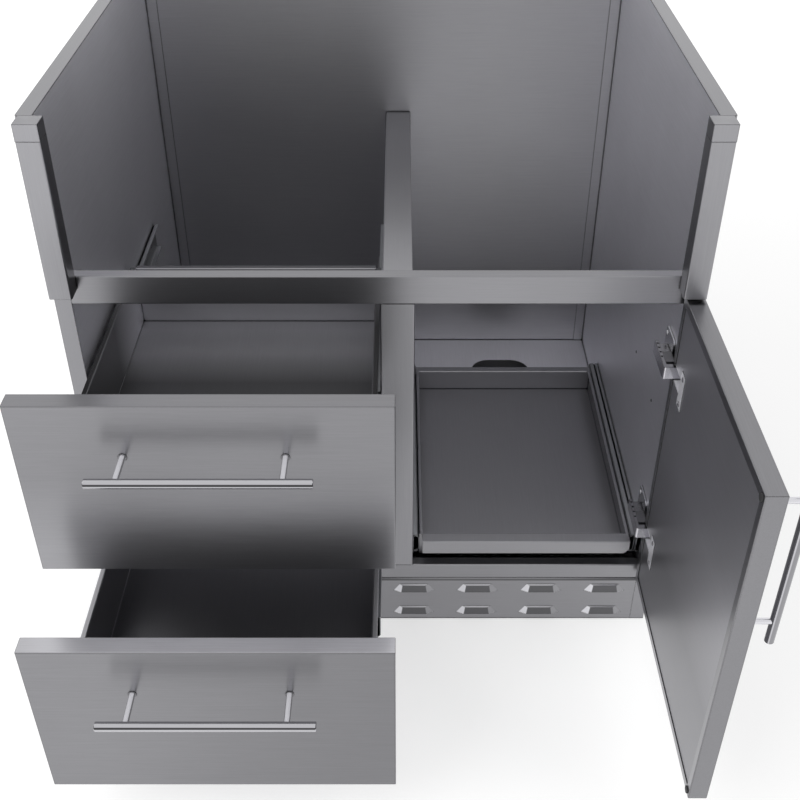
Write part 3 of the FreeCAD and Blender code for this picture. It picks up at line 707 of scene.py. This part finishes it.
def piece(name, mesh, body, material, smooth=True):
    """A new object made of a bmesh, which rides on a body and wears a material."""
    data = bpy.data.meshes.new(name)
    mesh.to_mesh(data)
    mesh.free()
    data.materials.append(materials[material])
    if smooth:
        data.polygons.foreach_set("use_smooth", [True] * len(data.polygons))
    made = bpy.data.objects.new(name, data)
    bpy.context.scene.collection.objects.link(made)
    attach(made, body)
    return made


def lathe(mesh, place, axis, profile, steps=24):
    """Adds a turned form: profile is (radius, height) pairs from the base up, along the axis."""
    turn = axis.to_track_quat("Z", "X").to_matrix().to_4x4()
    stand = Matrix.Translation(place) @ turn
    angles = [2 * math.pi * i / steps for i in range(steps)]
    rings = []
    for radius, height in profile:
        if radius == 0:
            rings.append([mesh.verts.new(stand @ Vector((0, 0, height)))])
            continue
        points = [Vector((radius * math.cos(a), radius * math.sin(a), height)) for a in angles]
        rings.append([mesh.verts.new(stand @ point) for point in points])
    for low, high in zip(rings, rings[1:]):
        for i in range(steps):
            j = (i + 1) % steps
            corners = [low[i % len(low)], low[j % len(low)], high[j % len(high)], high[i % len(high)]]
            corners = [c for k, c in enumerate(corners) if c not in corners[:k]]
            if len(corners) > 2:
                mesh.faces.new(corners)


def profile_from(outline, radius, height):
    """A lathe's profile from an outline given in shares."""
    return [(radius * across, height * up) for across, up in outline]


def screws(mesh, places, out, radius, height):
    """Adds low domed heads with a round recess, which stand on a face at some places."""
    for place in places:
        lathe(mesh, place, out, profile_from(SCREW_OUTLINE, radius, height))


def solids(name, sort_axis):
    """The lowest and highest corners of a node's separate solids, sorted along an axis."""
    mesh = bmesh.new()
    mesh.from_mesh(nodes[name].data)
    bmesh.ops.remove_doubles(mesh, verts=mesh.verts, dist=SAME_POINT)
    seen, boxes = set(), []
    for start in mesh.verts:
        if start in seen:
            continue
        seen.add(start)
        pool, island = [start], []
        while pool:
            vertex = pool.pop()
            island.append(vertex.co.copy())
            for edge in vertex.link_edges:
                other = edge.other_vert(vertex)
                if other not in seen:
                    seen.add(other)
                    pool.append(other)
        low = Vector([min(p[i] for p in island) for i in range(3)])
        high = Vector([max(p[i] for p in island) for i in range(3)])
        boxes.append((low, high))
    mesh.free()
    return sorted(boxes, key=lambda ends: ends[0][sort_axis])


def post_collars():
    """A low turned ring where each post meets its front."""
    for owner, axis, out in (("upper_drawer", 0, -Y), ("lower_drawer", 0, -Y), ("door", 2, X)):
        mesh = bmesh.new()
        for low, high in solids(f"{owner}_handle_posts", axis):
            base = (low + high) / 2
            bore = (high - low)[axis] / 2
            if out.x:
                base.x = low.x
            else:
                base.y = high.y
            profile = [(bore, 0), (COLLAR_RADIUS, 0), (COLLAR_RADIUS, COLLAR_HEIGHT * COLLAR_SHOULDER),
                       (COLLAR_RADIUS - COLLAR_BEVEL, COLLAR_HEIGHT), (bore, COLLAR_HEIGHT), (bore, 0)]
            lathe(mesh, base, out, profile, steps=40)
        bmesh.ops.remove_doubles(mesh, verts=mesh.verts, dist=SAME_POINT)
        piece(f"{owner}_post_collars", mesh, owner, "collar", smooth=False)


def softest(values, blend):
    """The least of some values, blended smoothly where two of them are close."""
    return -blend * math.log(sum(math.exp(-v / blend) for v in values))


def louvre_half_length(w):
    """Half the length of a louvre on the plate, at a height w above its mouth."""
    return LOUVRE_HALF_LENGTH - LOUVRE_TAPER * w / LOUVRE_HEIGHT


def louvre_face(w):
    """How far a louvre's face and its brow stand out of the plate, at a height w above its mouth."""
    face = LOUVRE_BROW_DEPTH + (LOUVRE_BROW - w) * (LOUVRE_DEPTH - LOUVRE_BROW_DEPTH) / LOUVRE_BROW
    brow = (LOUVRE_HEIGHT - w) * LOUVRE_BROW_DEPTH / (LOUVRE_HEIGHT - LOUVRE_BROW)
    return face, brow


def louvre_columns(w):
    """Distances from a louvre's middle, at a height w, of a mesh's columns on its right half."""
    face, brow = louvre_face(w)
    outer = louvre_half_length(w)
    inner = outer - max(0, min(face, brow)) / LOUVRE_WING_SLOPE
    on_face = [inner * share for share in COLUMNS_ON_FACE]
    on_wing = [inner + (outer - inner) * share for share in COLUMNS_ON_WING]
    beside = [outer + distance for distance in COLUMNS_BESIDE]
    return on_face + on_wing + beside + [LOUVRE_PITCH / 2 - COLUMN_MARGIN]


def louvre_rise(u, w):
    """How far the plate stands out at a place in a louvre."""
    wing = (louvre_half_length(w) - abs(u)) * LOUVRE_WING_SLOPE
    if wing < -LOUVRE_APRON:
        return 0.0
    low = softest((*louvre_face(w), wing), LOUVRE_BLEND)
    rise = (low + math.hypot(low, LOUVRE_FOOT_BLEND)) / 2 - LOUVRE_SUNK
    return max(0.0, min(LOUVRE_DEPTH, rise))


def kick_plate_rows(back, top):
    """The rows of the kick plate's grid: depth, height, and height above a louvre's mouth or None."""
    rows = [(back, 0.0, None)]
    for step in range(BEND_STEPS + 1):
        turn = math.pi / 2 * step / BEND_STEPS
        rows.append((BEND_RADIUS * (1 - math.sin(turn)), BEND_RADIUS * (1 - math.cos(turn)), None))
    done = BEND_RADIUS
    for mouth in LOUVRE_MOUTHS:
        rows += [(0.0, done + (mouth - done) * share, None) for share in ROWS_BETWEEN]
        rows += [(0.0, mouth - ROW_BELOW_MOUTH, None), (0.0, mouth, None)]
        rows += [(0.0, mouth + w, w) for w in ROWS_IN_LOUVRE]
        done = mouth + LOUVRE_HEIGHT + ROW_ABOVE_LOUVRE
        rows.append((0.0, done, None))
    return rows + [(0.0, done + (top - done) * share, None) for share in ROWS_ON_TOP]


def kick_plate_line(left, right, w):
    """One row of the grid: places along the plate and how far it stands out at each."""
    half = louvre_columns(w or 0)
    line = [(left, 0.0), (left + END_COLUMN, 0.0)]
    for column in range(LOUVRE_COLUMNS):
        middle = (column - (LOUVRE_COLUMNS - 1) / 2) * LOUVRE_PITCH
        for u in [-c for c in reversed(half[1:])] + half:
            line.append((middle + u, 0.0 if w is None else louvre_rise(u, w)))
    return line + [(right - END_COLUMN, 0.0), (right, 0.0)]


def kick_plate():
    """The kick plate with its louvres pressed out of the sheet and open at their mouths."""
    low, high = (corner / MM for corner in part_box("kick_plate"))
    rows = kick_plate_rows(high.y, high.z)
    mesh = bmesh.new()
    grid = []
    for y, z, w in rows:
        line = kick_plate_line(low.x, high.x, w)
        grid.append([mesh.verts.new(Vector((x, y - rise, z)) * MM) for x, rise in line])
    for row, (below, above) in enumerate(zip(grid, grid[1:])):
        # A louvre's mouth stays open between the flat plate's last row and the louvre's first
        if rows[row][2] is None and rows[row + 1][2] == 0:
            continue
        for i in range(len(below) - 1):
            mesh.faces.new((below[i], below[i + 1], above[i + 1], above[i]))
    bmesh.ops.remove_doubles(mesh, verts=mesh.verts, dist=GRID_WELD * MM)
    bmesh.ops.dissolve_degenerate(mesh, edges=mesh.edges, dist=GRID_SLIVER * MM)
    made = piece("louvred_plate", mesh, "carcass", "louvred")
    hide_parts("kick_plate")
    skin = made.modifiers.new("sheet", "SOLIDIFY")
    skin.thickness = KICK_PLATE_SHEET * MM
    skin.offset = -1
    skin.use_even_offset = True


def hinge_details():
    """Screws on the hinge plates and cups, each arm's holes as dark discs of painted shade, and its
    closed nose.
    """
    plate_low, plate_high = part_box("hinge_plates")
    arm_low, arm_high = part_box("hinge_arms")
    plate_screws, holes, noses, cup_screws = (bmesh.new() for _ in range(4))
    for low, high in solids("hinge_plates", 2):
        middle = ((low + high) / 2).z
        y = plate_high.y - PLATE_SCREW_INSET
        places = [Vector((plate_low.x, y, middle + side * PLATE_SCREW_SPREAD)) for side in (-1, 1)]
        screws(plate_screws, places, -X, SCREW_RADIUS, PLATE_SCREW_HEIGHT)
        for step in reversed(range(HOLE_COUNT)):
            y = arm_high.y - HOLE_MARGIN - step * HOLE_PITCH
            place = Vector((arm_low.x + HOLE_INSET, y, middle + ARM_HALF_HEIGHT))
            lathe(holes, place, Z, profile_from(HOLE_OUTLINE, HOLE_RADIUS, HOLE_LIFT), steps=20)
        corner = Vector((arm_low.x + NOSE_INSET, arm_low.y + NOSE_SETBACK, middle - NOSE_BELOW))
        size = Vector(NOSE_SIZE) * MM
        box = bmesh.ops.create_cube(noses, size=1)["verts"]
        bmesh.ops.scale(noses, vec=size, verts=box)
        bmesh.ops.translate(noses, vec=corner + size / 2, verts=box)
    for low, high in solids("hinge_cups", 2):
        middle = ((low + high) / 2).z
        y = low.y + CUP_SCREW_INSET
        places = [Vector((low.x, y, middle + side * CUP_SCREW_SPREAD)) for side in (-1, 1)]
        screws(cup_screws, places, -X, SCREW_RADIUS, CUP_SCREW_HEIGHT)
    piece("hinge_plate_screws", plate_screws, "carcass", "cup_nickel")
    # The arms' holes are thin dark discs, painted shade where the arms are open
    piece("hinge_arm_holes", holes, "carcass", "dark_steel_and_hole_shade", smooth=False)
    nose = piece("hinge_arm_noses", noses, "carcass", "dull_nickel")
    soften(nose, width=NOSE_BREAK, segments=3)
    piece("hinge_cup_screws", cup_screws, "door", "nickel")


def slide_screws():
    """Screws through the slots of the inner slide members, which hold them to their box or tray."""
    for owner in ("upper_drawer", "lower_drawer", "tray"):
        mesh = bmesh.new()
        for (low, high), out in zip(solids(f"{owner}_slide_inner", 0), (-X, X)):
            web = high.x - SLIDE_SHEET if out.x < 0 else low.x + SLIDE_SHEET
            ends = (low.y + SLIDE_SLOT_INSET, high.y - SLIDE_SLOT_INSET)
            places = [Vector((web, y, (low.z + high.z) / 2)) for y in ends]
            screws(mesh, places, out, SCREW_RADIUS, SLIDE_SCREW_HEIGHT)
        piece(f"{owner}_slide_screws", mesh, owner, "nickel")


def liner_screws():
    """Two small dark screws in the right liner."""
    mesh = bmesh.new()
    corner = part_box("liner_right")[0]
    places = [corner + Vector((0, depth, LINER_SCREW_LEVEL)) for depth in LINER_SCREW_DEPTHS]
    screws(mesh, places, -X, LINER_SCREW_RADIUS, LINER_SCREW_HEIGHT)
    piece("liner_screws", mesh, "carcass", "dark_steel_and_hole_shade")


def back_rivets():
    """Domed rivets down both edges of the back, which hold it to the side panels."""
    mesh = bmesh.new()
    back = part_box("back_panel")[1].y
    low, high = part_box("side_panel_right")
    edge = low.x - RIVET_INSET
    pitch = (high.z - low.z - 2 * RIVET_MARGIN) / (RIVET_COUNT - 1)
    for side in (-edge, edge):
        for step in range(RIVET_COUNT):
            place = Vector((side, back, low.z + RIVET_MARGIN + step * pitch))
            lathe(mesh, place, Y, profile_from(RIVET_OUTLINE, RIVET_RADIUS, MM))
    piece("back_rivets", mesh, "carcass", "carcass_across")


camera()
world()
studio_floor()
lights()
dress_nodes()
post_collars()
kick_plate()
hinge_details()
slide_screws()
liner_screws()
back_rivets()
